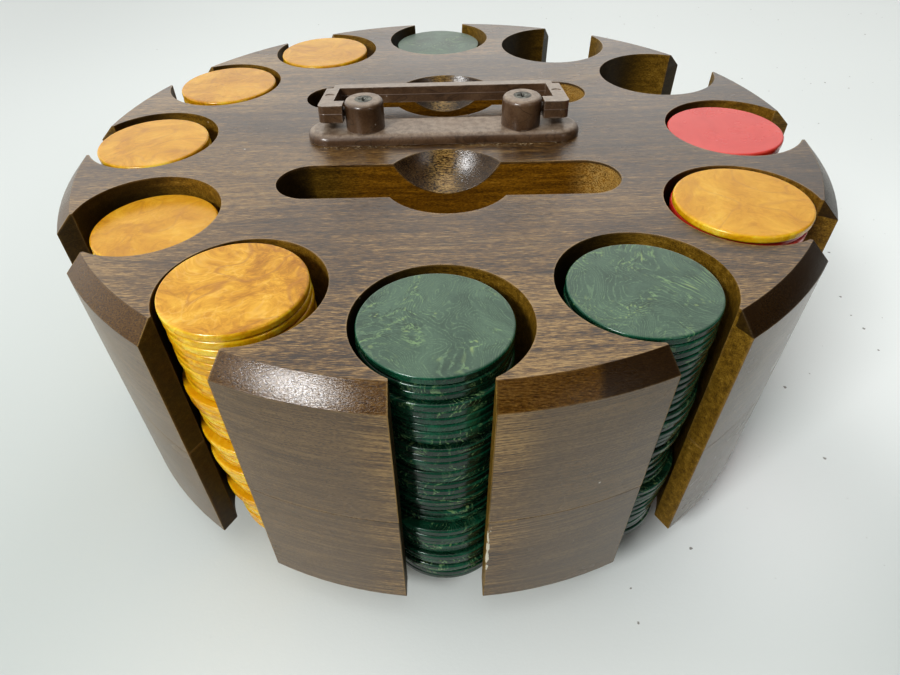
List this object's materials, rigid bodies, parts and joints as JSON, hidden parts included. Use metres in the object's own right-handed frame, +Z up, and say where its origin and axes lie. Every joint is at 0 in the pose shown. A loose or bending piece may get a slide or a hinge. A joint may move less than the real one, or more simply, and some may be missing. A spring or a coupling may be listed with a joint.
{
  "type": "poker chip rack",
  "caption": "Round revolving laminated-wood rack with open-sided wells for poker chips round its rim, card slots in its top and a folding bail handle.",
  "frame": {"origin": "centre of the felt pad's underside, on the table", "axes": "+Z up, X along the card slots and the handle, -Y towards the front, where chip well 1 opens"},
  "size_m": [0.253, 0.253, 0.1185],
  "materials": {
    "wood": "satin dark walnut stain",
    "floor_board": "bare hardboard",
    "foot_wood": "satin dark stain",
    "zinc_screw": "zinc plated",
    "race_steel": "stamped, zinc plated",
    "eyelet": "dull",
    "ball_steel": "polished",
    "cage": "natural nylon",
    "felt": "dark green felt",
    "handle": "moulded brown, worn satin",
    "handle_screw": "aged",
    "chip_green": "polished, swirled green",
    "chip_red": "polished coral red",
    "chip_yellow": "polished, swirled butterscotch"
  },
  "bodies": {
    "foot": {"foot_disc": "foot_wood", "foot_screws": "zinc_screw", "felt_pad": "felt", "lower_race_plate": "race_steel"},
    "ball_ring": {"bearing_balls": "ball_steel", "ball_cage": "cage"},
    "rack": {"upper_layer": "wood", "lower_layer": "wood", "floor_disc": "floor_board", "floor_screws": "zinc_screw", "upper_race_plate": "race_steel", "race_plate_screws": "zinc_screw", "centre_eyelet": "eyelet", "handle_plate": "handle", "left_post": "handle", "right_post": "handle", "handle_screws": "handle_screw"},
    "bail": {"handle_bail": "handle"},
    "chips_01": {"stack_01_green": "chip_green"},
    "chips_02": {"stack_02_green": "chip_green"},
    "chips_03": {"stack_03_red": "chip_red", "top_chip_03_yellow": "chip_yellow"},
    "chips_04": {"stack_04_red": "chip_red"},
    "chips_07": {"stack_07_green": "chip_green"},
    "chips_08": {"stack_08_yellow": "chip_yellow"},
    "chips_09": {"stack_09_yellow": "chip_yellow"},
    "chips_10": {"stack_10_yellow": "chip_yellow"},
    "chips_11": {"stack_11_yellow": "chip_yellow"},
    "chips_12": {"stack_12_yellow": "chip_yellow"}
  },
  "joints": [
    {"name": "rack_spin", "type": "hinge", "parent": "foot", "child": "rack", "pos_m": [0, 0, 0.0167], "axis": [0, 0, 1], "continuous": true},
    {"name": "ball_ring_spin", "type": "hinge", "parent": "foot", "child": "ball_ring", "pos_m": [0, 0, 0.0105], "axis": [0, 0, 1], "continuous": true},
    {"name": "bail_fold", "type": "hinge", "parent": "rack", "child": "bail", "pos_m": [0.0012, -0.0015, 0.1145], "axis": [1, 0, 0], "range_deg": [-6, 200.8]},
    {"name": "lift_chips_01", "type": "slide", "parent": "rack", "child": "chips_01", "axis": [0, 0, 1], "range_m": [0, 0.1]},
    {"name": "lift_chips_02", "type": "slide", "parent": "rack", "child": "chips_02", "axis": [0, 0, 1], "range_m": [0, 0.1]},
    {"name": "lift_chips_03", "type": "slide", "parent": "rack", "child": "chips_03", "axis": [0, 0, 1], "range_m": [0, 0.1]},
    {"name": "lift_chips_04", "type": "slide", "parent": "rack", "child": "chips_04", "axis": [0, 0, 1], "range_m": [0, 0.1]},
    {"name": "lift_chips_07", "type": "slide", "parent": "rack", "child": "chips_07", "axis": [0, 0, 1], "range_m": [0, 0.1]},
    {"name": "lift_chips_08", "type": "slide", "parent": "rack", "child": "chips_08", "axis": [0, 0, 1], "range_m": [0, 0.1]},
    {"name": "lift_chips_09", "type": "slide", "parent": "rack", "child": "chips_09", "axis": [0, 0, 1], "range_m": [0, 0.1]},
    {"name": "lift_chips_10", "type": "slide", "parent": "rack", "child": "chips_10", "axis": [0, 0, 1], "range_m": [0, 0.1]},
    {"name": "lift_chips_11", "type": "slide", "parent": "rack", "child": "chips_11", "axis": [0, 0, 1], "range_m": [0, 0.1]},
    {"name": "lift_chips_12", "type": "slide", "parent": "rack", "child": "chips_12", "axis": [0, 0, 1], "range_m": [0, 0.1]}
  ],
  "couplings": [
    {"joint": "ball_ring_spin", "follows": "rack_spin", "ratio": 0.5}
  ]
}
